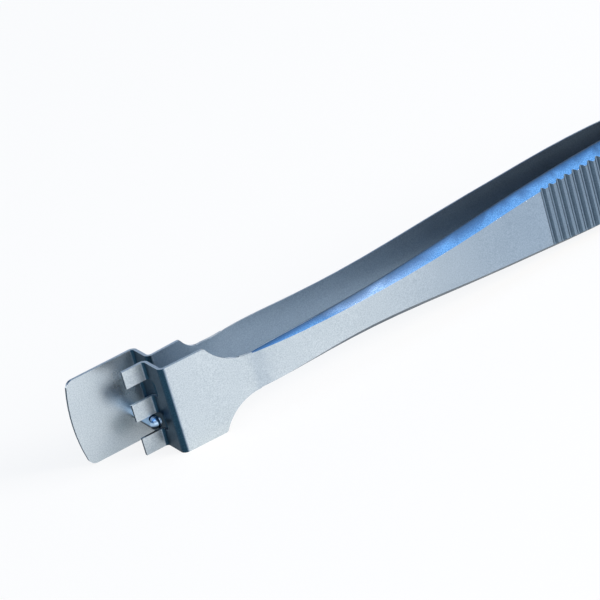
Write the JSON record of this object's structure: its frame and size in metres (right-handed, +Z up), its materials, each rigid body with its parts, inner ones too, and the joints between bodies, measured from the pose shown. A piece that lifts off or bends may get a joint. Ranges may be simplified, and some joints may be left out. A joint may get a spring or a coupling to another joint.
{
  "type": "three-prong tweezers",
  "caption": "Sprung steel tweezers with a stepped fork jaw facing a thin stepped paddle jaw, for holding a thin flat disc by its edge.",
  "frame": {"origin": "middle of the base of the bounding box, with the tweezers lying on their side edges", "axes": "+X from the jaws to the welded tail, +Y from the prong arm to the paddle arm, +Z up across the width of the arms"},
  "size_m": [0.1306, 0.0108, 0.0127],
  "materials": {
    "satin_steel": "fine satin",
    "polished_pin": "polished"
  },
  "bodies": {
    "paddle_side": {"paddle_arm": "satin_steel", "guide_pin": "polished_pin"},
    "prong_side": {"prong_arm": "satin_steel"}
  },
  "joints": [
    {"name": "arm_squeeze", "type": "hinge", "parent": "paddle_side", "child": "prong_side", "pos_m": [0.05226, 0.00001, 0.00635], "axis": [0, 0, -1], "range_deg": [0, 2.03], "stiffness_Nm_per_rad": 2.1}
  ]
}
